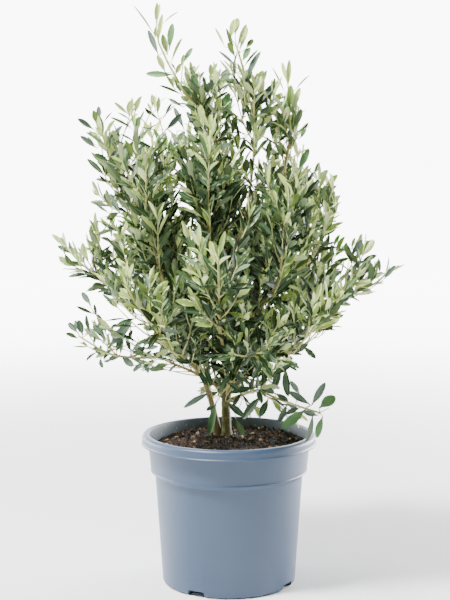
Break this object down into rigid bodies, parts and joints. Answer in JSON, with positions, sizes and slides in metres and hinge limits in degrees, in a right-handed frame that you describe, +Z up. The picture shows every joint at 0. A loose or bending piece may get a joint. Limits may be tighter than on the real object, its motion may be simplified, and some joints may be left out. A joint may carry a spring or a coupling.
{
  "type": "potted olive bush",
  "caption": "Bushy young olive plant with upright silvery leafy shoots, in a round tapered nursery pot with a rolled lip and drainage notches.",
  "frame": {"origin": "middle of the pot's flat underside, on the pot's axis", "axes": "+Z up along the plant, +X to the right as seen from its front, +Y to its back"},
  "size_m": [0.4572, 0.4108, 0.7867],
  "materials": {
    "pot": "satin",
    "compost": "matte",
    "trunk": "matte",
    "bough": "matte",
    "foliage": "matte"
  },
  "bodies": {
    "root": {"compost": "compost", "leader": "bough", "left_stem": "bough", "low_back_bough": "bough", "low_back_foliage": "foliage", "low_front_bough": "bough", "low_front_foliage": "foliage", "low_left_bough": "bough", "low_left_foliage": "foliage", "low_right_bough": "bough", "low_right_foliage": "foliage", "middle_back_bough": "bough", "middle_back_foliage": "foliage", "middle_front_bough": "bough", "middle_front_foliage": "foliage", "middle_left_back_bough": "bough", "middle_left_back_foliage": "foliage", "middle_left_bough": "bough", "middle_left_foliage": "foliage", "middle_left_front_bough": "bough", "middle_left_front_foliage": "foliage", "middle_right_back_bough": "bough", "middle_right_back_foliage": "foliage", "middle_right_foliage": "foliage", "middle_right_front_bough": "bough", "middle_right_front_foliage": "foliage", "pot": "pot", "right_bough": "bough", "right_stem": "bough", "top_back_bough": "bough", "top_back_foliage": "foliage", "top_centre_bough": "bough", "top_centre_foliage": "foliage", "top_front_bough": "bough", "top_front_foliage": "foliage", "top_left_foliage": "foliage", "top_right_foliage": "foliage", "trunk": "trunk", "upper_left_back_bough": "bough", "upper_left_back_foliage": "foliage", "upper_left_foliage": "foliage", "upper_left_front_bough": "bough", "upper_left_front_foliage": "foliage", "upper_right_back_bough": "bough", "upper_right_back_foliage": "foliage", "upper_right_bough": "bough", "upper_right_foliage": "foliage", "upper_right_front_bough": "bough", "upper_right_front_foliage": "foliage"}
  },
  "joints": []
}
